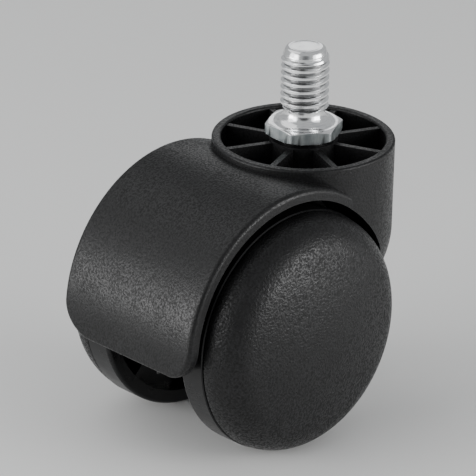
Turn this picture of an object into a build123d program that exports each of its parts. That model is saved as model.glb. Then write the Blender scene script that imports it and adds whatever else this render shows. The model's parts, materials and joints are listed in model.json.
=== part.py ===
"""Twin-wheel hooded furniture castor with a threaded swivel stem.

Frame: the origin is the centre of the hexagon's top face, where the stem's shoulder meets the chair leg.
+Z runs up the stem, +X points from the wheel axle towards the swivel boss, and the wheels turn about Y.
All lengths are in millimetres.
"""
import os
from math import cos, hypot, radians, sin, sqrt

from build123d import *

os.makedirs("parts", exist_ok=True)

# ---------------------------------------------------------------- driving dimensions
# Wheels and axle
wheel_radius = 25.0
shoulder_height = 59.6  # hexagon's top face above the floor
trail = 19.0  # swivel axis to axle
axle_x = -trail
axle_z = wheel_radius - shoulder_height
axle_radius = 3.0
axle_half_length = 21.6
axle_chamfer = 0.4
running_clearance = 0.05  # radial, wheel on axle and stem in bush
press_gap = 0.02  # radial, drawn gap of a press fit inside one body

# Wheel, measured outwards from the castor's middle plane
tread_inner_y = 10.75
tread_outer_y = 16.8
rim_inner_radius = 22.1
rim_corner_radius = 0.7
seam_chamfer = 0.2
wheel_disc_inner_y = 14.3
wheel_disc_thickness = 1.6
wheel_hub_radius = 6.0
wheel_hub_inner_y = 9.2
wheel_hub_outer_y = 20.0
wheel_rib_count = 8
wheel_rib_thickness = 1.4
wheel_rib_inner_y = 11.5
rib_root = 1.0  # how far ribs run into what they join

# Domed cap
cap_radius = 24.8
cap_seam_gap = 0.25
cap_crown_y = 27.2
cap_edge_radius = 8.0
cap_wall = 1.8
cap_flange = 1.4
spigot_outer_radius = 22.05
spigot_wall = 1.5
spigot_length = 1.05

# Washers and push-on retainers
washer_radius = 6.5
washer_thickness = 0.5
washer_play = 0.05
retainer_radius = 6.4
retainer_thickness = 0.5
retainer_play = 0.1
retainer_slot_count = 6
retainer_slot_width = 0.8
retainer_slot_reach = 4.8

# Hood
hood_x = -20.2
hood_z = -33.0
hood_radius = 28.4
hood_wall = 2.4
hood_half_width = 18.05
hood_rear_drop = 9.75  # degrees that the hood runs below the level of its own centre
hood_front_angle = 30.0  # degrees, where the hood ends inside the boss
hood_edge_radius = 1.0
hood_corner_radius = 7.5
hood_corner_cut = 7.0  # depth of the cut that rounds a rear corner, more than the wall is thick
cut_margin = 1.0  # how far outside the hood that cut starts
wheel_well_radius = 26.2
gate_nib_radius = 0.45
gate_nib_height = 0.45
gate_nib_y = -8.0

# Web between the wheels
web_half_thickness = 2.5
web_axle_radius = 9.0
web_rear_radius = 1.5
web_front_radius = 6.0
axle_boss_radius = 7.5
axle_boss_half_length = 8.6
web_rib_angles = (62.0, 96.0, 130.0, 164.0)
web_rib_thickness = 1.5
web_rib_half_width = 7.6

# Swivel boss
boss_top_z = -3.4
boss_top_radius = 18.5
boss_draft = 0.1  # radius lost from the rim down to the dome
boss_dome_z = -21.9
boss_wall = 1.9
boss_rim_fillet = 0.45
boss_rib_count = 8
boss_rib_thickness = 1.2
boss_rib_drop = 0.4  # rib tops below the rim
boss_rib_offset = 22.5
pocket_floor_radius = 27.9  # measured from the hood's centre line
socket_radius = 6.9
socket_end_z = -30.6

# Stem and its bearing
thread_radius = 4.87  # M10, at the small end of its tolerance
thread_start_z = 3.4
thread_end_z = 13.6
stem_tip_z = 15.6
stem_tip_radius = 3.9
thread_run_out = 0.4  # height of the bevel from the neck up to the thread
neck_radius = 4.1
neck_fillet = 1.3
hex_across_flats = 14.0
hex_thickness = 2.5
hex_corner_radius = 7.85
hex_chamfer_radius = 6.75
hex_chamfer_height = 0.5
hex_turn = 27.0  # degrees
shank_radius = 4.0
shank_end_z = -29.0
shank_chamfer = 0.8
groove_top_z = -22.6
groove_width = 1.1
groove_radius = 3.3
bush_wall = 1.45
bush_end_z = -22.0
bush_flange_radius = 6.15
bush_flange_fillet = 0.6
bush_play = 0.1  # under the hexagon
ring_radius = 4.75
ring_thickness = 1.0
ring_gap = 1.6
ring_recess_radius = 5.2
ring_recess_end_z = -26.0
pilot_radius = 4.3
pilot_end_z = -30.0

edge_tolerance = 0.01  # how closely an edge's middle has to lie on a radius to be chosen

# ---------------------------------------------------------------- worked out from those
hood_inner_radius = hood_radius - hood_wall
hood_rear_x = hood_x - hood_radius
hood_edge_z = hood_z - hood_radius * sin(radians(hood_rear_drop))
boss_low_radius = boss_top_radius - boss_draft
boss_bottom_z = boss_dome_z - boss_low_radius
boss_height = boss_top_z - boss_bottom_z
bush_outer_radius = shank_radius + running_clearance + bush_wall
bush_top_z = -hex_thickness - bush_play
sides = {"left": 1, "right": -1}


def across_axle(distance, side):
    """Plane square to the axle, centred on it, at a distance out from the middle and facing outwards."""
    return Plane(origin=(axle_x, side * distance, axle_z), x_dir=(side, 0, 0), z_dir=(0, side, 0))


def along_axle(side):
    """Plane through the axle's axis for revolved wheel pieces: local x is radius, local y runs outwards."""
    return Plane(origin=(axle_x, 0, axle_z), x_dir=(1, 0, 0), z_dir=(0, 0, side))


def on_hood_outline(edge):
    """Whether an edge runs round the outside of the hood: its two long arcs, rear corners and rear edge."""
    middle = edge @ 0.5
    distance = hypot(middle.X - hood_x, middle.Z - hood_z)
    return middle.X < hood_x and abs(distance - hood_radius) < edge_tolerance


wheel_axis = Axis((axle_x, 0, axle_z), (0, 1, 0))


# ---------------------------------------------------------------- threaded stem
with BuildPart() as threaded_stem:
    with BuildSketch(Plane.XY.offset(-hex_thickness)):
        RegularPolygon(hex_across_flats / 2, 6, major_radius=False, rotation=hex_turn)
    extrude(amount=hex_thickness)
    # The hexagon's corners are turned off on both faces.
    with BuildSketch(Plane.XZ):
        with BuildLine():
            Polyline(
                (0, 0),
                (hex_chamfer_radius, 0),
                (hex_corner_radius, -hex_chamfer_height),
                (hex_corner_radius, -hex_thickness + hex_chamfer_height / 2),
                (hex_corner_radius - hex_chamfer_height, -hex_thickness),
                (0, -hex_thickness),
                close=True,
            )
        make_face()
    revolve(axis=Axis.Z, mode=Mode.INTERSECT)
    # Plain cylinder for the thread at its major diameter, bevelled tip, thread relief and its root fillet.
    with BuildSketch(Plane.XZ):
        with BuildLine():
            Polyline(
                (neck_radius, neck_fillet),
                (neck_radius, thread_start_z - thread_run_out),
                (thread_radius, thread_start_z),
                (thread_radius, thread_end_z),
                (stem_tip_radius, stem_tip_z),
                (0, stem_tip_z),
                (0, -hex_thickness),
                (neck_radius + neck_fillet, -hex_thickness),
                (neck_radius + neck_fillet, 0),
            )
            RadiusArc((neck_radius + neck_fillet, 0), (neck_radius, neck_fillet), neck_fillet)
        make_face()
    revolve(axis=Axis.Z)
    # Swivel shank with the groove for its snap ring.
    with BuildSketch(Plane.XZ):
        with BuildLine():
            Polyline(
                (0, -hex_thickness),
                (shank_radius, -hex_thickness),
                (shank_radius, groove_top_z),
                (groove_radius, groove_top_z),
                (groove_radius, groove_top_z - groove_width),
                (shank_radius, groove_top_z - groove_width),
                (shank_radius, shank_end_z + shank_chamfer),
                (shank_radius - shank_chamfer, shank_end_z),
                (0, shank_end_z),
                close=True,
            )
        make_face()
    revolve(axis=Axis.Z)

# ---------------------------------------------------------------- snap ring
with BuildPart() as stem_snap_ring:
    with BuildSketch(Plane.XY.offset(groove_top_z - (groove_width + ring_thickness) / 2)):
        Circle(ring_radius)
        Circle(groove_radius + press_gap, mode=Mode.SUBTRACT)
        with Locations((ring_radius / 2, 0)):
            Rectangle(ring_radius, ring_gap, mode=Mode.SUBTRACT)
    extrude(amount=ring_thickness)

# ---------------------------------------------------------------- swivel bush
with BuildPart() as swivel_bush:
    with BuildSketch(Plane.XY.offset(bush_end_z)):
        Circle(bush_outer_radius)
    extrude(amount=boss_top_z - bush_end_z)
    with BuildSketch(Plane.XY.offset(boss_top_z)):
        Circle(bush_flange_radius)
    extrude(amount=bush_top_z - boss_top_z)
    fillet(swivel_bush.edges().group_by(Axis.Z)[-1], bush_flange_fillet)
    with BuildSketch(Plane.XY.offset(bush_end_z)):
        Circle(shank_radius + running_clearance)
    extrude(amount=bush_top_z - bush_end_z, mode=Mode.SUBTRACT)

# ---------------------------------------------------------------- axle, washers and retainers
with BuildPart() as axle:
    with BuildSketch(Plane.XZ):
        with Locations((axle_x, axle_z)):
            Circle(axle_radius)
    extrude(amount=axle_half_length, both=True)
    chamfer(axle.edges().filter_by(GeomType.CIRCLE), axle_chamfer)

thrust_washers = {}
push_on_retainers = {}
for name, side in sides.items():
    with BuildPart() as washer:
        with BuildSketch(across_axle(axle_boss_half_length + washer_play, side)):
            Circle(washer_radius)
            Circle(axle_radius + running_clearance, mode=Mode.SUBTRACT)
        extrude(amount=washer_thickness)
    thrust_washers[name] = washer

    with BuildPart() as retainer:
        with BuildSketch(across_axle(wheel_hub_outer_y + retainer_play, side)):
            Circle(retainer_radius)
            Circle(axle_radius + press_gap, mode=Mode.SUBTRACT)
            with PolarLocations(retainer_slot_reach / 2, retainer_slot_count):
                Rectangle(retainer_slot_reach, retainer_slot_width, mode=Mode.SUBTRACT)
        extrude(amount=retainer_thickness)
    push_on_retainers[name] = retainer

# ---------------------------------------------------------------- wheels
wheels = {}
for name, side in sides.items():
    with BuildPart() as wheel:
        # Rim with its tread, rounded on the inner side
        with BuildSketch(along_axle(side)):
            with BuildLine():
                shoulder = (wheel_radius - rim_corner_radius, tread_inner_y)
                tread_start = (wheel_radius, tread_inner_y + rim_corner_radius)
                RadiusArc(shoulder, tread_start, -rim_corner_radius)
                Polyline(
                    tread_start,
                    (wheel_radius, tread_outer_y - seam_chamfer),
                    (wheel_radius - seam_chamfer, tread_outer_y),
                    (rim_inner_radius, tread_outer_y),
                    (rim_inner_radius, tread_inner_y),
                    shoulder,
                )
            make_face()
        revolve(axis=wheel_axis)
        # Disc, hub and ribs
        with BuildSketch(across_axle(wheel_disc_inner_y, side)):
            Circle(rim_inner_radius)
        extrude(amount=wheel_disc_thickness)
        with BuildSketch(across_axle(wheel_hub_inner_y, side)):
            Circle(wheel_hub_radius)
        extrude(amount=wheel_hub_outer_y - wheel_hub_inner_y)
        with BuildSketch(across_axle(wheel_rib_inner_y, side)):
            with PolarLocations((wheel_hub_radius + rim_inner_radius) / 2, wheel_rib_count):
                Rectangle(rim_inner_radius - wheel_hub_radius + rib_root, wheel_rib_thickness)
        extrude(amount=wheel_disc_inner_y - wheel_rib_inner_y)
        with BuildSketch(across_axle(wheel_hub_inner_y, side)):
            Circle(axle_radius + running_clearance)
        extrude(amount=wheel_hub_outer_y - wheel_hub_inner_y, mode=Mode.SUBTRACT)
    wheels[name] = wheel

# ---------------------------------------------------------------- domed caps
cap_base_y = tread_outer_y + cap_seam_gap
cap_height = cap_crown_y - cap_base_y
edge_centre_radius = cap_radius - cap_edge_radius
# Radius of the crown arc that meets the edge arc without a corner
crown_rise = cap_height - cap_edge_radius
crown_radius = (edge_centre_radius**2 + cap_height**2 - cap_edge_radius**2) / (2 * crown_rise)
crown_centre_y = cap_crown_y - crown_radius
centre_distance = hypot(edge_centre_radius, cap_base_y - crown_centre_y)
meet_x = edge_centre_radius / centre_distance
meet_y = (cap_base_y - crown_centre_y) / centre_distance


def dome_outline(inset, rim_height):
    """Ends of the dome's two arcs, moved inwards by inset, down to rim_height above the seam."""
    crown = (0, cap_crown_y - inset)
    meet = ((crown_radius - inset) * meet_x, crown_centre_y + (crown_radius - inset) * meet_y)
    rim = (edge_centre_radius + sqrt((cap_edge_radius - inset) ** 2 - rim_height**2), cap_base_y + rim_height)
    return crown, meet, rim


wheel_caps = {}
for name, side in sides.items():
    with BuildPart() as cap:
        with BuildSketch(along_axle(side)):
            with BuildLine():
                outer_crown, outer_meet, outer_rim = dome_outline(0, 0)
                inner_crown, inner_meet, inner_rim = dome_outline(cap_wall, cap_flange)
                RadiusArc(outer_crown, outer_meet, crown_radius)
                RadiusArc(outer_meet, outer_rim, cap_edge_radius)
                Polyline(
                    outer_rim,
                    (spigot_outer_radius, cap_base_y),
                    (spigot_outer_radius, cap_base_y - spigot_length),
                    (spigot_outer_radius - spigot_wall, cap_base_y - spigot_length),
                    (spigot_outer_radius - spigot_wall, cap_base_y + cap_flange),
                    inner_rim,
                )
                RadiusArc(inner_rim, inner_meet, -(cap_edge_radius - cap_wall))
                RadiusArc(inner_meet, inner_crown, -(crown_radius - cap_wall))
                Line(inner_crown, outer_crown)
            make_face()
        revolve(axis=wheel_axis)
    wheel_caps[name] = cap

# ---------------------------------------------------------------- boss pockets (a cutting tool, not a piece)
with BuildPart() as boss_pockets:
    with BuildSketch(Plane.XZ):
        with BuildLine():
            pocket_low_radius = boss_low_radius - boss_wall
            mouth = (boss_top_radius - boss_wall + boss_rim_fillet, boss_top_z)
            throat = (boss_top_radius - boss_wall, boss_top_z - boss_rim_fillet)
            pocket_bottom = (0, boss_dome_z - pocket_low_radius)
            Polyline(pocket_bottom, (0, boss_top_z), mouth)
            RadiusArc(mouth, throat, -boss_rim_fillet)
            Line(throat, (pocket_low_radius, boss_dome_z))
            RadiusArc((pocket_low_radius, boss_dome_z), pocket_bottom, pocket_low_radius)
        make_face()
    revolve(axis=Axis.Z)
    # The socket tube and the ribs stay.
    with BuildSketch(Plane.XY.offset(boss_top_z)):
        Circle(socket_radius)
    extrude(amount=-boss_height, mode=Mode.SUBTRACT)
    with BuildSketch(Plane.XY.offset(boss_top_z - boss_rib_drop)):
        with PolarLocations(boss_top_radius / 2, boss_rib_count, start_angle=boss_rib_offset):
            Rectangle(boss_top_radius, boss_rib_thickness)
    extrude(amount=-boss_height, mode=Mode.SUBTRACT)
    # The pockets' floor is the hood's own shell, carried through under the boss.
    with BuildSketch(Plane.XZ):
        with Locations((hood_x, hood_z)):
            Circle(pocket_floor_radius)
    extrude(amount=boss_top_radius, both=True, mode=Mode.SUBTRACT)

# ---------------------------------------------------------------- housing
with BuildPart() as caster_housing:
    # Hood as a sector of a cylinder
    with BuildSketch(Plane.XZ):
        with BuildLine():
            hood_arc = CenterArc(
                (hood_x, hood_z), hood_radius, hood_front_angle, 180 + hood_rear_drop - hood_front_angle
            )
            Line(hood_arc @ 1, (hood_x, hood_z))
            Line((hood_x, hood_z), hood_arc @ 0)
        make_face()
    extrude(amount=hood_half_width, both=True)
    # Rounded lower corners at the back
    for side in sides.values():
        with BuildSketch(Plane.YZ.offset(hood_rear_x - cut_margin)):
            with BuildLine():
                corner = (side * hood_half_width, hood_edge_z)
                start = (side * hood_half_width, hood_edge_z + hood_corner_radius)
                end = (side * (hood_half_width - hood_corner_radius), hood_edge_z)
                Line(end, corner)
                Line(corner, start)
                RadiusArc(start, end, side * hood_corner_radius)
            make_face()
        extrude(amount=hood_corner_cut, mode=Mode.SUBTRACT)
    fillet(caster_housing.edges().filter_by(on_hood_outline), hood_edge_radius)
    # Boss with its domed underside
    with BuildSketch(Plane.XZ):
        with BuildLine():
            rim_top = (boss_top_radius - boss_rim_fillet, boss_top_z)
            rim_side = (boss_top_radius, boss_top_z - boss_rim_fillet)
            Polyline((0, boss_bottom_z), (0, boss_top_z), rim_top)
            RadiusArc(rim_top, rim_side, boss_rim_fillet)
            Line(rim_side, (boss_low_radius, boss_dome_z))
            RadiusArc((boss_low_radius, boss_dome_z), (0, boss_bottom_z), boss_low_radius)
        make_face()
    revolve(axis=Axis.Z)
    # Wheel wells on both sides of the web
    for side in sides.values():
        with BuildSketch(Plane.XZ.offset(side * web_half_thickness)):
            with Locations((hood_x, hood_z)):
                Circle(hood_inner_radius)
            with Locations((axle_x, axle_z)):
                Circle(wheel_well_radius)
        extrude(amount=side * boss_top_radius, mode=Mode.SUBTRACT)
    add(boss_pockets.part, mode=Mode.SUBTRACT)
    # Web's lower outline, from the back of the hood round the axle to the boss
    with BuildSketch(Plane.XZ):
        with Locations((axle_x, axle_z)):
            Circle(web_axle_radius)
        with Locations((hood_x - hood_inner_radius, hood_z)):
            Circle(web_rear_radius)
        with Locations((0, boss_bottom_z + web_front_radius)):
            Circle(web_front_radius)
        make_hull()
    extrude(amount=web_half_thickness, both=True)
    # Socket tube with a round end
    with BuildSketch(Plane.XZ):
        with BuildLine():
            Polyline(
                (0, socket_end_z - socket_radius),
                (0, boss_top_z),
                (socket_radius, boss_top_z),
                (socket_radius, socket_end_z),
            )
            RadiusArc((socket_radius, socket_end_z), (0, socket_end_z - socket_radius), socket_radius)
        make_face()
    revolve(axis=Axis.Z)
    # Axle boss and the stiffening ribs between it and the hood
    with BuildSketch(Plane.XZ):
        with Locations((axle_x, axle_z)):
            Circle(axle_boss_radius)
    extrude(amount=axle_boss_half_length, both=True)
    with BuildSketch(Plane.XZ):
        for angle in web_rib_angles:
            rib_middle = hood_radius / 2
            place = (hood_x + rib_middle * cos(radians(angle)), hood_z + rib_middle * sin(radians(angle)))
            with Locations(Location(place, angle)):
                Rectangle(hood_radius - hood_wall, web_rib_thickness)
    extrude(amount=web_rib_half_width, both=True)
    # Bores: axle, bush, snap ring recess and pilot
    with BuildSketch(Plane.XZ):
        with Locations((axle_x, axle_z)):
            Circle(axle_radius + press_gap)
    extrude(amount=axle_boss_half_length, both=True, mode=Mode.SUBTRACT)
    for radius, top_z, end_z in (
        (bush_outer_radius + press_gap, boss_top_z, bush_end_z),
        (ring_recess_radius, bush_end_z, ring_recess_end_z),
        (pilot_radius, ring_recess_end_z, pilot_end_z),
    ):
        with BuildSketch(Plane.XY.offset(end_z)):
            Circle(radius)
        extrude(amount=top_z - end_z, mode=Mode.SUBTRACT)
    # Gate mark left on the hood's lower edge
    nib_x = hood_x - (hood_radius - hood_wall / 2) * cos(radians(hood_rear_drop))
    with BuildSketch(Plane.XY.offset(hood_edge_z + hood_wall)):
        with Locations((nib_x, gate_nib_y)):
            Circle(gate_nib_radius)
    extrude(amount=-hood_wall - gate_nib_height)

# ---------------------------------------------------------------- export
pieces = {
    "threaded_stem": threaded_stem,
    "stem_snap_ring": stem_snap_ring,
    "swivel_bush": swivel_bush,
    "caster_housing": caster_housing,
    "axle": axle,
}
for name in sides:
    pieces["thrust_washer_" + name] = thrust_washers[name]
    pieces["push_on_retainer_" + name] = push_on_retainers[name]
    pieces["wheel_" + name] = wheels[name]
    pieces["wheel_cap_" + name] = wheel_caps[name]

for name, piece in pieces.items():
    piece.part.label = name
    export_step(piece.part, "parts/" + name + ".step")
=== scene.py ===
"""Looks for a twin-wheel furniture castor: materials, visual stem and caps, studio light and camera.

Blender's lengths are in metres in the part's own frame, and the dimensions named here are in millimetres
where they say so. The origin is the centre of the hexagon's top face. +Z runs up the stem, +X points from the
axle towards the swivel boss, and the wheels turn about Y.
"""
import json
import math
import bmesh
import bpy
from mathutils import Matrix, Vector


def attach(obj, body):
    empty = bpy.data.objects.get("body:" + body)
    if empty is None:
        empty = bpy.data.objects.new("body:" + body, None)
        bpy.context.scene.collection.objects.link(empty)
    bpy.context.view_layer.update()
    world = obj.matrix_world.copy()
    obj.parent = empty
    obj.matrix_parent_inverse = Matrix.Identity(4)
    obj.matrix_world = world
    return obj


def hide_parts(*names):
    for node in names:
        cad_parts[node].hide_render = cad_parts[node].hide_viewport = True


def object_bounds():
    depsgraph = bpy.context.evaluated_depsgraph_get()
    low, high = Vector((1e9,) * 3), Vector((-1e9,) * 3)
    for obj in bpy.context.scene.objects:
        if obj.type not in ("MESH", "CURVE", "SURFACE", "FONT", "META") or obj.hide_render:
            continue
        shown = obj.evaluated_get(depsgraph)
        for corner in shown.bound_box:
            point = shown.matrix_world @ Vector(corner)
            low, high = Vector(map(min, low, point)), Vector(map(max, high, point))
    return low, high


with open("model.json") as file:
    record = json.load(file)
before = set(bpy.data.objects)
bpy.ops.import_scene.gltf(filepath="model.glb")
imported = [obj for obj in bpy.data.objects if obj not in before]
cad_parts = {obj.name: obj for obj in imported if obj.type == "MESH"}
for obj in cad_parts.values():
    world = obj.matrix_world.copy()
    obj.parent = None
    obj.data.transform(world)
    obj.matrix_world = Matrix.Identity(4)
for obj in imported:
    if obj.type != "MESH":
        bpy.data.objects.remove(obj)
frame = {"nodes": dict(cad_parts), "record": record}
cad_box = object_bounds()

MM = 0.001
nodes = frame["nodes"]

# ---------------------------------------- dimensions of the visual stem, in millimetres
STEM_COLUMNS = 144  # a multiple of six, so that a column falls on each corner of the hexagon
THREAD_PITCH = 1.5
THREAD_RADIUS = 4.87
THREAD_DEPTH = 0.80
THREAD_CREST = 0.24  # share of the pitch that the flat crest takes
THREAD_ROOT = 0.12  # share of the pitch that the root takes
THREAD_ROWS = 18  # rows of the mesh to each turn
THREAD_BOTTOM_Z = 3.0
THREAD_FULL_Z = 3.4
THREAD_BEVEL_Z = 13.6
TIP_Z = 16.0
TIP_RADIUS = 3.9
TIP_ROUND = 1.0
TIP_DISH = 0.12  # how much lower the middle of the tip lies than its rim
TIP_DISH_POWER = 6  # how flat the dish is: a higher power keeps its floor level nearer to the rim
TIP_DISH_SHARES = (0.94, 0.86, 0.72, 0.50, 0.25, 0.0)  # radii of the dish's rings, as shares of the flat's
NECK_RADIUS = 4.1
NECK_FILLET = 2.6
HEX_APOTHEM = 7.0
HEX_THICKNESS = 2.5
HEX_TURN = 27.0  # degrees
HEX_CORNER_RADIUS = 7.98
HEX_CHAMFER_RADIUS = 6.9
HEX_CHAMFER_SLOPE = 0.30
HEX_LOWER_RADIUS = 7.35
HEX_LOWER_SLOPE = 0.5
HEX_SIDE_REACH = 0.97  # a face this share of the apothem out, or further, can be a satin side face, darkened with painted shade
HEX_SIDE_TILT = 0.3  # and its normal has a smaller vertical part than this
EDGE_ROUND = 0.07
SHANK_RADIUS = 4.0
SHANK_END_Z = -29.0
SHANK_CHAMFER = 0.8
GROOVE_RADIUS = 3.3
GROOVE_TOP_Z = -22.6
GROOVE_WIDTH = 1.1

# ---------------------------------------- dimensions of the visual caps, in millimetres
AXLE_X = -19.0
AXLE_Z = -34.6
CAP_RADIUS = 24.8
CAP_BASE_Y = 17.05
CAP_CROWN_Y = 27.2
CAP_EDGE_RADIUS = 8.0
CAP_SEAM_ROUND = 0.15
CAP_WALL = 1.8
CAP_FLANGE = 1.4
SPIGOT_RADIUS = 22.05
SPIGOT_WALL = 1.5
SPIGOT_LENGTH = 1.05
CAP_COLUMNS = 160

SHARP_ANGLE = 32.0  # degrees, edges that turn more than this stay sharp

# ---------------------------------------- values that the materials share
PLASTIC_SPECULAR = 0.29
EDGE_TURNS = (0.02, 0.25)  # 1 minus the rounded and plain normals' dot product: the edge mask's start and end
EDGE_LIFT = 3.0  # how much brighter the plastic is painted along its edges: a painted highlight where rounded edges would catch the light
PIT_SHADE = 0.15  # how much of its dark colour the plastic keeps in the grain's pits, a painted shade
MARK_SHADE = 0.6  # how much of its dark colour the steel keeps in its marks
ROOT_PAINTED_SHADE = 0.20  # how much of its dark colour the steel keeps in the thread's roots, a painted shade
ROOT_SHADE_FADE = 0.3  # millimetres over which the painted root shade fades in and out along the thread
# colour of the painted highlight along the steel's edges
PAINTED_EDGE_HIGHLIGHT = (0.97, 0.97, 0.97)


# ---------------------------------------- material tools
class Shader:
    """One Principled material and short calls for the nodes that drive it."""

    def __init__(self, name, **values):
        self.material = bpy.data.materials.new(name)
        self.material.use_nodes = True
        self.tree = self.material.node_tree
        self.principled = self.tree.nodes["Principled BSDF"]
        self.coordinates = self.tree.nodes.new("ShaderNodeTexCoord").outputs["Object"]
        for socket, value in values.items():
            self.principled.inputs[socket.replace("_", " ")].default_value = value

    def link(self, source, target):
        self.tree.links.new(source, target)

    def node(self, kind, settings=None, **inputs):
        made = self.tree.nodes.new(kind)
        for name, value in (settings or {}).items():
            setattr(made, name, value)
        for name, value in inputs.items():
            socket = made.inputs[name.replace("_", " ")]
            if isinstance(value, bpy.types.NodeSocket):
                self.link(value, socket)
            else:
                socket.default_value = value
        return made

    def place(self, stretch=(1, 1, 1)):
        """Object coordinates in millimetres, stretched along the axes."""
        scale = [1 / MM * factor for factor in stretch]
        return self.node("ShaderNodeMapping", Vector=self.coordinates, Scale=scale).outputs["Vector"]

    def noise(self, size, detail=3.0, stretch=(1, 1, 1), roughness=0.5):
        """Noise from 0 to 1 with features of about that size in millimetres."""
        made = self.node(
            "ShaderNodeTexNoise",
            Vector=self.place(stretch),
            Scale=1 / size,
            Detail=detail,
            Roughness=roughness,
        )
        return made.outputs["Fac"]

    def remap(self, value, low, high, out_low, out_high):
        made = self.node("ShaderNodeMapRange", {"clamp": True}, Value=value)
        limits = {"From Min": low, "From Max": high, "To Min": out_low, "To Max": out_high}
        for name, number in limits.items():
            made.inputs[name].default_value = number
        return made.outputs["Result"]

    def math(self, operation, first, second):
        made = self.node("ShaderNodeMath", {"operation": operation})
        for socket, value in zip(made.inputs, (first, second)):
            if isinstance(value, bpy.types.NodeSocket):
                self.link(value, socket)
            else:
                socket.default_value = value
        return made.outputs["Value"]

    def mix(self, factor, first, second):
        """A colour between two, by factor."""
        made = self.node("ShaderNodeMix", {"data_type": "RGBA"})
        self.link(factor, made.inputs["Factor"])
        for socket, value in ((made.inputs["A"], first), (made.inputs["B"], second)):
            colour_socket = [s for s in made.inputs if s.name == socket.name and s.type == "RGBA"][0]
            if isinstance(value, bpy.types.NodeSocket):
                self.link(value, colour_socket)
            else:
                colour_socket.default_value = (*value, 1)
        return [s for s in made.outputs if s.type == "RGBA"][0]

    def edges(self, radius):
        """A mask that rises from 0 to 1 along convex edges, from how a rounded edge would turn the normal."""
        rounded = self.node("ShaderNodeBevel", {"samples": 4}, Radius=radius * MM).outputs["Normal"]
        flat = self.node("ShaderNodeNewGeometry").outputs["Normal"]
        turned = self.node("ShaderNodeVectorMath", {"operation": "DOT_PRODUCT"})
        self.link(rounded, turned.inputs[0])
        self.link(flat, turned.inputs[1])
        return self.remap(turned.outputs["Value"], 1 - EDGE_TURNS[0], 1 - EDGE_TURNS[1], 0, 1)

    def thread_roots(self, root_radius, crest_radius, bottom_z, top_z):
        """A mask that is 1 in the roots of a thread about Z, and 0 on its crests and beyond its two ends."""
        split = self.node("ShaderNodeSeparateXYZ", Vector=self.place())
        squares = [self.math("POWER", split.outputs[axis], 2) for axis in ("X", "Y")]
        reach = self.math("SQRT", self.math("ADD", *squares), 0)
        in_root = self.remap(reach, root_radius, crest_radius, 1, 0)
        above = self.remap(split.outputs["Z"], bottom_z, bottom_z + ROOT_SHADE_FADE, 0, 1)
        below = self.remap(split.outputs["Z"], top_z - ROOT_SHADE_FADE, top_z, 1, 0)
        return self.math("MULTIPLY", in_root, self.math("MULTIPLY", above, below))

    def bump(self, height, depth):
        """A surface with that height map, depth millimetres deep."""
        made = self.node("ShaderNodeBump", Strength=1.0, Distance=depth * MM, Height=height)
        return made.outputs["Normal"]

    def drive(self, **sockets):
        """Links each source to the shader's socket of that name."""
        for name, source in sockets.items():
            self.link(source, self.principled.inputs[name.replace("_", " ")])


def grained_plastic(name, dark, light, grain_size, grain_depth, smooth, rough):
    """Black moulded nylon with a spark-eroded grain: its pits are dull and darkened with painted shade, its
    peaks smoother.
    """
    shader = Shader(name, IOR=1.5, Specular_IOR_Level=PLASTIC_SPECULAR)
    grain = shader.noise(grain_size, detail=1.5)
    peaks = shader.remap(grain, 0.38, 0.62, 0, 1)
    mottle = shader.noise(6.0, detail=4.0)
    # Painted highlight: the colour is lifted along the edges, where rounded edges would catch the light.
    edge_highlight_mask = shader.edges(0.35)
    colour = shader.mix(shader.remap(mottle, 0.3, 0.7, 0, 1), dark, light)
    # Painted shade: the grain's pits are darkened, where shade falls between its peaks.
    colour = shader.mix(peaks, [PIT_SHADE * value for value in dark], colour)
    edge_highlight_share = shader.math("MULTIPLY", edge_highlight_mask, 0.35)
    colour = shader.mix(edge_highlight_share, colour, [EDGE_LIFT * value for value in light])
    dulled = shader.math("ADD", peaks, shader.remap(mottle, 0.35, 0.65, 0.2, -0.2))
    roughness = shader.remap(dulled, 0, 1, rough, smooth)
    surface = shader.bump(grain, grain_depth)
    shader.drive(Base_Color=colour, Roughness=roughness, Normal=surface)
    return shader.material


def smooth_plastic(name, dark, light, smooth, rough):
    """Black nylon from a polished mould, with faint scuffs."""
    shader = Shader(name, IOR=1.5, Specular_IOR_Level=PLASTIC_SPECULAR)
    mottle = shader.noise(5.0, detail=5.0)
    scuffs = shader.noise(0.8, detail=6.0, stretch=(1, 0.15, 1), roughness=0.7)
    colour = shader.mix(shader.remap(mottle, 0.3, 0.7, 0, 1), dark, light)
    # Painted highlight: the colour is lifted along the edges, where rounded edges would catch the light.
    edge_highlight_share = shader.math("MULTIPLY", shader.edges(0.2), 0.4)
    colour = shader.mix(edge_highlight_share, colour, [EDGE_LIFT * value for value in light])
    roughness = shader.remap(shader.math("ADD", mottle, scuffs), 0.8, 1.3, smooth, rough)
    surface = shader.bump(scuffs, 0.003)
    shader.drive(Base_Color=colour, Roughness=roughness, Normal=surface)
    return shader.material


def steel(name, dark, light, smooth, rough, stretch, mark_depth, shaded_roots=None):
    """Metal with fine marks, drawn out along the directions where stretch is small, and a painted highlight
    along its edges.

    Its last argument, where given, is what Shader.thread_roots needs to find the thread's roots, which get a
    painted shade.
    """
    shader = Shader(name, Metallic=1.0)
    marks = shader.noise(0.12, detail=3.0, stretch=stretch, roughness=0.6)
    clouds = shader.noise(2.2, detail=4.0)
    colour = shader.mix(shader.remap(clouds, 0.35, 0.65, 0, 1), dark, light)
    marked = shader.remap(marks, 0.45, 0.75, 0, 0.5)
    colour = shader.mix(marked, colour, [MARK_SHADE * value for value in dark])
    if shaded_roots:
        # Painted shade: the thread's roots are darkened, where shade falls between the crests.
        colour = shader.mix(shader.thread_roots(*shaded_roots), colour, [ROOT_PAINTED_SHADE * value for value in dark])
    # Painted highlight: the edges are coloured near white, where rounded edges would catch the light.
    colour = shader.mix(shader.edges(0.12), colour, PAINTED_EDGE_HIGHLIGHT)
    roughness = shader.remap(shader.math("ADD", clouds, marks), 0.7, 1.3, smooth, rough)
    surface = shader.bump(marks, mark_depth)
    shader.drive(Base_Color=colour, Roughness=roughness, Normal=surface)
    return shader.material


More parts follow.
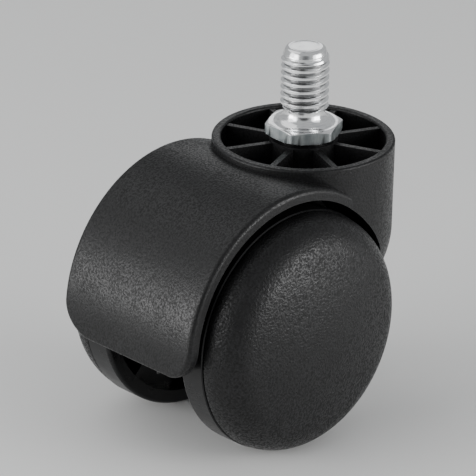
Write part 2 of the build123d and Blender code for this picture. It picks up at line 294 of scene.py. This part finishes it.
housing_plastic = grained_plastic(
    "housing_grained_nylon", (0.0085, 0.0085, 0.0090), (0.0125, 0.0125, 0.0131), 0.42, 0.065, 0.29, 0.56
)
cap_plastic = grained_plastic(
    "cap_grained_nylon", (0.0090, 0.0090, 0.0095), (0.0135, 0.0135, 0.0142), 0.46, 0.120, 0.26, 0.62
)
wheel_plastic = smooth_plastic(
    "wheel_smooth_nylon", (0.0050, 0.0050, 0.0053), (0.0075, 0.0075, 0.0080), 0.26, 0.40
)
bush_plastic = smooth_plastic(
    "bush_polished_acetal", (0.0030, 0.0030, 0.0032), (0.0045, 0.0045, 0.0048), 0.10, 0.20
)
SHADED_THREAD_ROOTS = (4.08, 4.40, 3.1, 13.9)  # radii where the painted root shade is full and where it ends, then its z range
plated_steel = steel(
    "bright_zinc_plate",
    (0.84, 0.85, 0.86),
    (0.95, 0.95, 0.95),
    0.10,
    0.22,
    (0.06, 0.06, 1),
    0.0012,
    SHADED_THREAD_ROOTS,
)
# The hexagon's sides: a real satin finish, rougher than the top, with its colour darkened as painted shade.
shaded_satin_steel = steel(
    "satin_zinc_plate_painted_shade", (0.36, 0.40, 0.41), (0.50, 0.53, 0.53), 0.36, 0.52, (1, 1, 0.08), 0.010
)
axle_steel = steel(
    "bright_drawn_steel", (0.52, 0.53, 0.55), (0.64, 0.65, 0.66), 0.22, 0.38, (1, 0.08, 1), 0.002
)
spring_steel = steel(
    "oiled_spring_steel", (0.16, 0.17, 0.19), (0.26, 0.27, 0.29), 0.30, 0.48, (1, 0.3, 1), 0.003
)

finishes = {
    "housing_plastic": housing_plastic,
    "cap_plastic": cap_plastic,
    "wheel_plastic": wheel_plastic,
    "bush_plastic": bush_plastic,
    "plated_steel": plated_steel,
    "axle_steel": axle_steel,
    "spring_steel": spring_steel,
}
for subpart in frame["record"]["subparts"]:
    mesh = nodes[subpart["node"]].data
    mesh.materials.clear()
    mesh.materials.append(finishes[subpart["material_slot"]])


# ---------------------------------------- the stem with its rolled thread
def add_grid(work, rows, columns, point):
    """A grid of faces: point(row, column) gives each corner in millimetres. The columns run once round."""
    made = [
        [work.verts.new(Vector(point(row, column)) * MM) for column in range(columns + 1)]
        for row in range(rows)
    ]
    for lower, upper in zip(made, made[1:]):
        for column in range(columns):
            work.faces.new((lower[column], lower[column + 1], upper[column + 1], upper[column]))


def finish_piece(work, name, material):
    """Joins the grids where they meet and makes an object with smooth faces and sharp corners."""
    bmesh.ops.remove_doubles(work, verts=work.verts, dist=0.002 * MM)
    bmesh.ops.dissolve_degenerate(work, edges=work.edges, dist=0.0005 * MM)
    bmesh.ops.recalc_face_normals(work, faces=work.faces)
    mesh = bpy.data.meshes.new(name)
    work.to_mesh(mesh)
    work.free()
    mesh.polygons.foreach_set("use_smooth", [True] * len(mesh.polygons))
    mesh.set_sharp_from_angle(angle=math.radians(SHARP_ANGLE))
    mesh.materials.append(material)
    piece = bpy.data.objects.new(name, mesh)
    bpy.context.scene.collection.objects.link(piece)
    return piece


def arc(centre, radius, start, end, steps):
    """Points on an arc round centre, with its angles in degrees."""
    angles = [math.radians(start + (end - start) * step / steps) for step in range(steps + 1)]
    return [(centre[0] + radius * math.cos(angle), centre[1] + radius * math.sin(angle)) for angle in angles]


def turned(column, radius, z):
    """A point of the stem at that column, in millimetres."""
    angle = math.radians(HEX_TURN) + math.tau * column / STEM_COLUMNS
    return (radius * math.cos(angle), radius * math.sin(angle), z)


def thread_radius(column, z):
    """The thread's radius at that height: flat crest, flanks and flat root, soft where they meet."""
    phase = (z / THREAD_PITCH - column / STEM_COLUMNS) % 1.0
    from_crest = abs(phase - 0.5)
    flank = (from_crest - THREAD_CREST / 2) / (0.5 - THREAD_CREST / 2 - THREAD_ROOT / 2)
    flank = min(max(flank, 0.0), 1.0)
    soft = flank * flank * (3 - 2 * flank)
    full = THREAD_RADIUS - THREAD_DEPTH * (0.4 * flank + 0.6 * soft)
    grown = (z - THREAD_BOTTOM_Z) / (THREAD_FULL_Z - THREAD_BOTTOM_Z)
    run_out = NECK_RADIUS + (THREAD_RADIUS - NECK_RADIUS) * grown
    return min(full, run_out, tip_cone_radius(z))


def tip_cone_radius(z):
    """Radius of the cone that bevels the thread's last turns."""
    return THREAD_RADIUS - (THREAD_RADIUS - TIP_RADIUS) * (z - THREAD_BEVEL_Z) / (TIP_Z - THREAD_BEVEL_Z)


def hexagon_radius(column):
    """Distance from the middle to the hexagon's side, with its corners turned off."""
    from_corner = 60.0 * ((6 * column / STEM_COLUMNS) % 1.0)
    return min(HEX_APOTHEM / math.cos(math.radians(from_corner - 30.0)), HEX_CORNER_RADIUS)


def hexagon_rings():
    """Rings from the hexagon's underside over its bevelled edges to its top face."""
    def underside(column):
        return turned(column, min(hexagon_radius(column), HEX_LOWER_RADIUS), -HEX_THICKNESS)

    def side(column, level):
        radius = hexagon_radius(column)
        top = -(radius - HEX_CHAMFER_RADIUS) * HEX_CHAMFER_SLOPE
        bottom = -HEX_THICKNESS + max(0.0, radius - HEX_LOWER_RADIUS) * HEX_LOWER_SLOPE
        return turned(column, radius, bottom + EDGE_ROUND if level == 0 else top - EDGE_ROUND)

    def bevel(column):
        radius = hexagon_radius(column) - EDGE_ROUND
        return turned(column, radius, -(radius - HEX_CHAMFER_RADIUS) * HEX_CHAMFER_SLOPE)

    return [underside, lambda column: side(column, 0), lambda column: side(column, 1), bevel]


def plain_rings():
    """Radius and height of the round rings below the hexagon, and of those between it and the thread."""
    groove_end = GROOVE_TOP_Z - GROOVE_WIDTH
    below = [
        (0.0, SHANK_END_Z),
        (SHANK_RADIUS - SHANK_CHAMFER, SHANK_END_Z),
        (SHANK_RADIUS, SHANK_END_Z + SHANK_CHAMFER),
        (SHANK_RADIUS, groove_end),
        (GROOVE_RADIUS, groove_end),
        (GROOVE_RADIUS, GROOVE_TOP_Z),
        (SHANK_RADIUS, GROOVE_TOP_Z),
        (SHANK_RADIUS, -HEX_THICKNESS),
    ]
    above = [(HEX_CHAMFER_RADIUS, 0.0)]
    steps = 10
    for step in range(steps + 1):
        angle = math.pi / 2 * step / steps
        radius = NECK_RADIUS + NECK_FILLET * (1 - math.sin(angle))
        above.append((radius, NECK_FILLET * (1 - math.cos(angle))))
    above.append((NECK_RADIUS, THREAD_BOTTOM_Z))
    return below, above


def build_stem():
    """The whole stem: shank, hexagon, neck, rolled thread and tip."""
    work = bmesh.new()
    below, above = plain_rings()
    rings = [lambda column, ring=ring: turned(column, *ring) for ring in below]
    rings += hexagon_rings()
    rings += [lambda column, ring=ring: turned(column, *ring) for ring in above]
    add_grid(work, len(rings), STEM_COLUMNS, lambda row, column: rings[row](column))

    # The thread's strip follows its helix, and stops level at the neck and where the tip's rounding starts.
    slope = math.atan2(THREAD_RADIUS - TIP_RADIUS, TIP_Z - THREAD_BEVEL_Z)
    round_radius = TIP_RADIUS - TIP_ROUND * math.tan((math.pi / 2 - slope) / 2)
    thread_top_z = TIP_Z - TIP_ROUND * (1 - math.sin(slope))
    turns_below = 1
    rows = math.ceil((thread_top_z - THREAD_BOTTOM_Z) / THREAD_PITCH + 2 * turns_below) * THREAD_ROWS

    def on_thread(row, column):
        turn = row / THREAD_ROWS - turns_below + column / STEM_COLUMNS
        z = min(max(THREAD_BOTTOM_Z + THREAD_PITCH * turn, THREAD_BOTTOM_Z), thread_top_z)
        return turned(column, thread_radius(column, z), z)

    add_grid(work, rows, STEM_COLUMNS, on_thread)

    # Rounded rim of the tip and the shallow dish that the rolling leaves in it
    tip = arc((round_radius, TIP_Z - TIP_ROUND), TIP_ROUND, math.degrees(slope), 90, 10)
    for share in TIP_DISH_SHARES:
        tip.append((round_radius * share, TIP_Z - TIP_DISH * (1 - share**TIP_DISH_POWER)))
    tip_start = [thread_radius(column, thread_top_z) for column in range(STEM_COLUMNS)]

    def on_tip(row, column):
        radius, z = tip[row]
        return turned(column, min(radius, tip_start[column % STEM_COLUMNS]) if row == 0 else radius, z)

    add_grid(work, len(tip), STEM_COLUMNS, on_tip)

    stem = finish_piece(work, "stem_with_rolled_thread", plated_steel)
    # The hexagon's side faces take the satin steel, whose darker colour is painted shade.
    stem.data.materials.append(shaded_satin_steel)
    for face in stem.data.polygons:
        height = face.center.z / MM
        reach = math.hypot(face.center.x, face.center.y) / MM
        in_height = -HEX_THICKNESS < height < -EDGE_ROUND
        on_side = in_height and reach > HEX_APOTHEM * HEX_SIDE_REACH and abs(face.normal.z) < HEX_SIDE_TILT
        face.material_index = 1 if on_side else 0
    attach(stem, "stem")
    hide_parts("threaded_stem")


build_stem()


# ---------------------------------------- the wheels' domed caps
def cap_profile():
    """Radius and distance from the middle plane: out over the dome, round the spigot and back inside it."""
    edge_centre = (CAP_RADIUS - CAP_EDGE_RADIUS, CAP_BASE_Y)
    rise = CAP_CROWN_Y - CAP_BASE_Y
    crown_radius = (edge_centre[0] ** 2 + rise**2 - CAP_EDGE_RADIUS**2) / (2 * (rise - CAP_EDGE_RADIUS))
    crown_centre = (0.0, CAP_CROWN_Y - crown_radius)
    meet = math.degrees(math.atan2(edge_centre[1] - crown_centre[1], edge_centre[0]))
    flange = math.degrees(math.asin(CAP_FLANGE / (CAP_EDGE_RADIUS - CAP_WALL)))
    corner_centre = (CAP_RADIUS - CAP_SEAM_ROUND, CAP_BASE_Y + CAP_SEAM_ROUND)
    seam = math.degrees(math.asin(CAP_SEAM_ROUND / CAP_EDGE_RADIUS))
    spigot_inner = SPIGOT_RADIUS - SPIGOT_WALL
    return [
        *arc(crown_centre, crown_radius, 90, meet, 24),
        *arc(edge_centre, CAP_EDGE_RADIUS, meet, seam, 24)[1:],
        *arc(corner_centre, CAP_SEAM_ROUND, 0, -90, 4)[1:],
        (SPIGOT_RADIUS, CAP_BASE_Y),
        (SPIGOT_RADIUS, CAP_BASE_Y - SPIGOT_LENGTH),
        (spigot_inner, CAP_BASE_Y - SPIGOT_LENGTH),
        (spigot_inner, CAP_BASE_Y + CAP_FLANGE),
        *arc(edge_centre, CAP_EDGE_RADIUS - CAP_WALL, flange, meet, 10),
        *arc(crown_centre, crown_radius - CAP_WALL, meet, 90, 12)[1:],
    ]


def build_cap(name, side):
    """One domed cap, turned about the axle, on the side that +1 or -1 says."""
    work = bmesh.new()
    profile = cap_profile()

    def point(row, column):
        radius, distance = profile[row]
        angle = math.tau * column / CAP_COLUMNS
        return (AXLE_X + radius * math.cos(angle), side * distance, AXLE_Z + radius * math.sin(angle))

    add_grid(work, len(profile), CAP_COLUMNS, point)
    cap = finish_piece(work, "domed_cap_" + name, cap_plastic)
    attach(cap, name + "_wheel")
    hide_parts("wheel_cap_" + name)


build_cap("left", 1)
build_cap("right", -1)

# ---------------------------------------- floor, light and camera
FLOOR_HALF = 3.0
floor_z = cad_box[0][2]
floor_mesh = bpy.data.meshes.new("floor")
floor_corners = [(-1, -1), (1, -1), (1, 1), (-1, 1)]
floor_points = [(FLOOR_HALF * x, FLOOR_HALF * y, floor_z) for x, y in floor_corners]
floor_mesh.from_pydata(floor_points, [], [(0, 1, 2, 3)])
floor = bpy.data.objects.new("floor", floor_mesh)
bpy.context.scene.collection.objects.link(floor)
floor_material = Shader("pale_floor", Base_Color=(0.80, 0.80, 0.79, 1), Roughness=0.9)
floor_mesh.materials.append(floor_material.material)

LIGHT_AIM = Vector((-0.012, 0.0, -0.022))

# The studio is pale all round, with a dark gap between its two front walls.
GAP_AZIMUTH = math.radians(-45.0)
GAP_EDGE = math.cos(math.radians(34.0))
GAP_CORE = math.cos(math.radians(16.0))
WORLD_BRIGHT = 0.50
WORLD_DARK = 0.04
WORLD_COLOUR = (0.96, 0.98, 1.0, 1)


def softbox(name, direction, distance, size, power):
    """A rectangular area light that looks at the castor from that direction, unseen by the camera."""
    lamp = bpy.data.lights.new(name, "AREA")
    lamp.shape = "RECTANGLE"
    lamp.size, lamp.size_y = size
    lamp.energy = power
    light = bpy.data.objects.new(name, lamp)
    away = Vector(direction).normalized()
    light.location = LIGHT_AIM + away * distance
    light.rotation_euler = away.to_track_quat("Z", "Y").to_euler()
    light.visible_camera = False
    bpy.context.scene.collection.objects.link(light)


# Name, direction from the castor, distance and size in metres, and power in watts
SOFTBOXES = [
    ("left", (-0.85, 0.33, 0.26), 0.7, (0.55, 0.6), 2.0),
    ("low_left", (-0.84, 0.48, 0.06), 0.35, (0.16, 0.16), 0.55),
    ("front_left", (-0.985, 0.10, 0.14), 0.7, (0.3, 0.5), 1.3),
    ("front_right", (0.157, -0.987, 0.14), 0.7, (0.3, 0.5), 0.9),
    ("right", (0.50, -0.86, 0.10), 0.6, (0.34, 0.34), 2.4),
    ("high_right", (0.42, -0.88, 0.30), 0.7, (0.5, 0.5), 1.0),
    ("back", (0.646, 0.649, 0.402), 0.7, (0.20, 0.20), 0.13),
    ("top", (-0.25, 0.55, 0.80), 0.7, (0.6, 0.6), 0.95),
]
for box_name, *box_values in SOFTBOXES:
    softbox("softbox_" + box_name, *box_values)


def build_world():
    """The studio's pale surroundings, which darken towards the gap."""
    world = bpy.data.worlds.new("studio")
    world.use_nodes = True
    tree = world.node_tree
    direction = tree.nodes.new("ShaderNodeTexCoord").outputs["Generated"]
    towards_gap = tree.nodes.new("ShaderNodeVectorMath")
    towards_gap.operation = "DOT_PRODUCT"
    towards_gap.inputs[1].default_value = (math.sin(GAP_AZIMUTH), -math.cos(GAP_AZIMUTH), 0)
    tree.links.new(direction, towards_gap.inputs[0])
    gap = tree.nodes.new("ShaderNodeMapRange")
    gap.interpolation_type = "SMOOTHSTEP"
    limits = {"From Min": GAP_EDGE, "From Max": GAP_CORE, "To Min": WORLD_BRIGHT, "To Max": WORLD_DARK}
    for socket, value in limits.items():
        gap.inputs[socket].default_value = value
    tree.links.new(towards_gap.outputs["Value"], gap.inputs["Value"])
    background = tree.nodes["Background"]
    background.inputs["Color"].default_value = WORLD_COLOUR
    tree.links.new(gap.outputs["Result"], background.inputs["Strength"])
    bpy.context.scene.world = world


build_world()

# The camera looks down at the castor's front left, from a long way off.
CAMERA_AZIMUTH = math.radians(-44.911)
CAMERA_ELEVATION = math.radians(23.694)
CAMERA_ROLL = math.radians(1.172)
CAMERA_DISTANCE = 0.850
CAMERA_LENS = 319.89
CAMERA_AIM = Vector((-0.014813, 0.003159, -0.022500))

back = Vector(
    (
        math.sin(CAMERA_AZIMUTH) * math.cos(CAMERA_ELEVATION),
        -math.cos(CAMERA_AZIMUTH) * math.cos(CAMERA_ELEVATION),
        math.sin(CAMERA_ELEVATION),
    )
)
level = Vector((math.cos(CAMERA_AZIMUTH), math.sin(CAMERA_AZIMUTH), 0.0))
upright = back.cross(level)
right = level * math.cos(CAMERA_ROLL) + upright * math.sin(CAMERA_ROLL)
up = back.cross(right)
camera_data = bpy.data.cameras.new("camera")
camera_data.sensor_width = 36.0
camera_data.lens = CAMERA_LENS
camera = bpy.data.objects.new("camera", camera_data)
bpy.context.scene.collection.objects.link(camera)
turn = Matrix((right, up, back)).transposed().to_4x4()
camera.matrix_world = Matrix.Translation(CAMERA_AIM + back * CAMERA_DISTANCE) @ turn
bpy.context.scene.camera = camera
